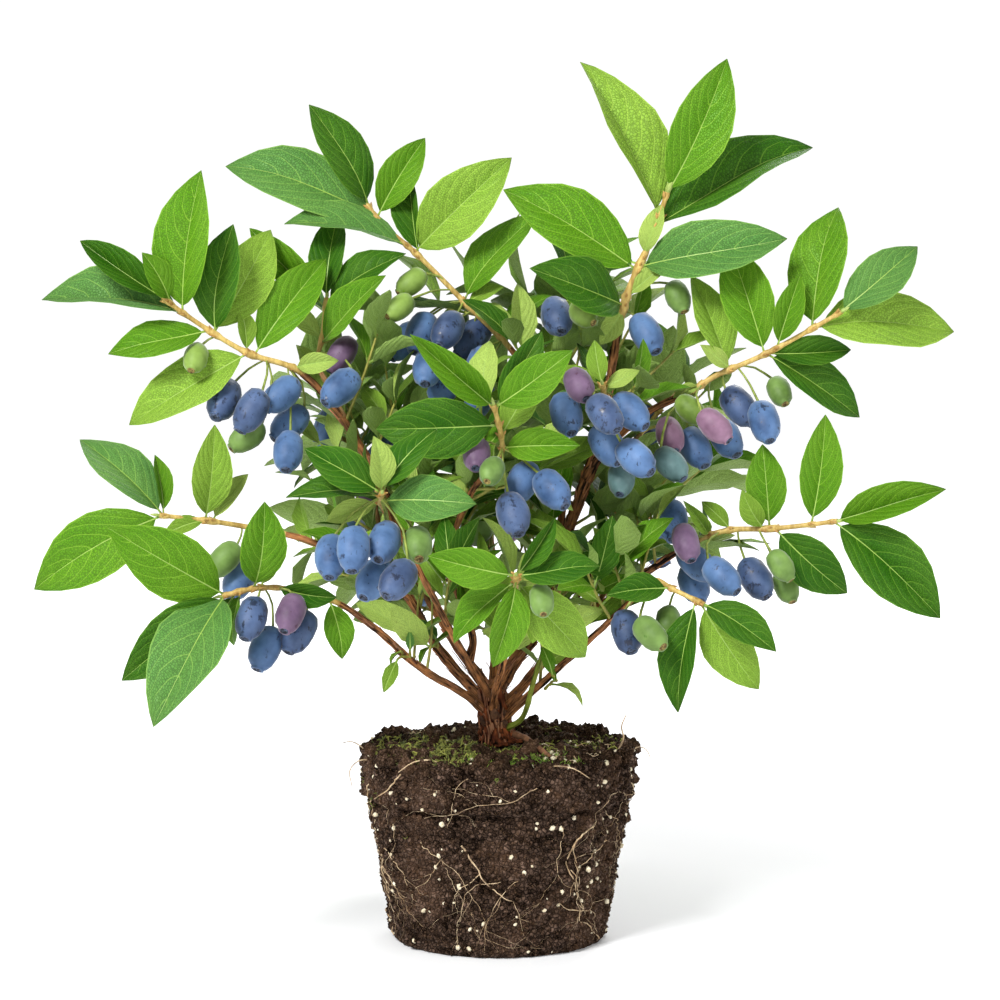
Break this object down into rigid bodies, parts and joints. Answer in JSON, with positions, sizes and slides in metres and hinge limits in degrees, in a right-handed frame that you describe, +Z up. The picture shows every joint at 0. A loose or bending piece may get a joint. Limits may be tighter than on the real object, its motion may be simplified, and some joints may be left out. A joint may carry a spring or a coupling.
{
  "type": "haskap shrub on its root ball",
  "caption": "Young haskap (blue honeysuckle) shrub with opposite oval leaves, blue berries and red-brown stems, standing on a bare dark root ball that keeps the shape of its pot.",
  "frame": {"origin": "centre of the root ball's flat underside", "axes": "+Z up, the front of the plant faces -Y, +X to its right in the front view"},
  "size_m": [0.3962, 0.2641, 0.3801],
  "materials": {
    "soil": "crumbly dark potting soil bound by pale fine roots, white grit and moss, fully rough",
    "bark": "red-brown shreddy bark, rough, paler and smoother on young shoots",
    "foliage": "soft green leaves with a satin upper side, and blue berries with a matt bloom"
  },
  "bodies": {
    "root": {"root_ball": "soil", "trunk": "bark", "bough_leader": "bark", "bough_upper_left": "bark", "bough_left": "bark", "bough_low_left": "bark", "bough_right_low": "bark", "bough_low_right": "bark", "bough_front": "bark", "bough_front_left": "bark", "bough_centre": "bark", "bough_right_upper": "bark", "bough_top_left": "bark", "bough_centre_right": "bark", "bough_left_top": "bark", "bough_low_centre": "bark", "bough_back": "bark", "bough_back_left": "bark", "bough_back_low": "bark", "bough_back_right": "bark", "bough_back_top": "bark", "bough_inner_left": "bark", "bough_inner_centre": "bark", "bough_inner_right": "bark", "bough_inner_low": "bark", "foliage_leader": "foliage", "foliage_upper_left": "foliage", "foliage_left": "foliage", "foliage_low_left": "foliage", "foliage_right_low": "foliage", "foliage_low_right": "foliage", "foliage_front": "foliage", "foliage_front_left": "foliage", "foliage_centre": "foliage", "foliage_right_upper": "foliage", "foliage_top_left": "foliage", "foliage_centre_right": "foliage", "foliage_left_top": "foliage", "foliage_low_centre": "foliage", "foliage_back": "foliage", "foliage_back_left": "foliage", "foliage_back_low": "foliage", "foliage_back_right": "foliage", "foliage_back_top": "foliage", "foliage_inner_left": "foliage", "foliage_inner_centre": "foliage", "foliage_inner_right": "foliage", "foliage_inner_low": "foliage"}
  },
  "joints": []
}
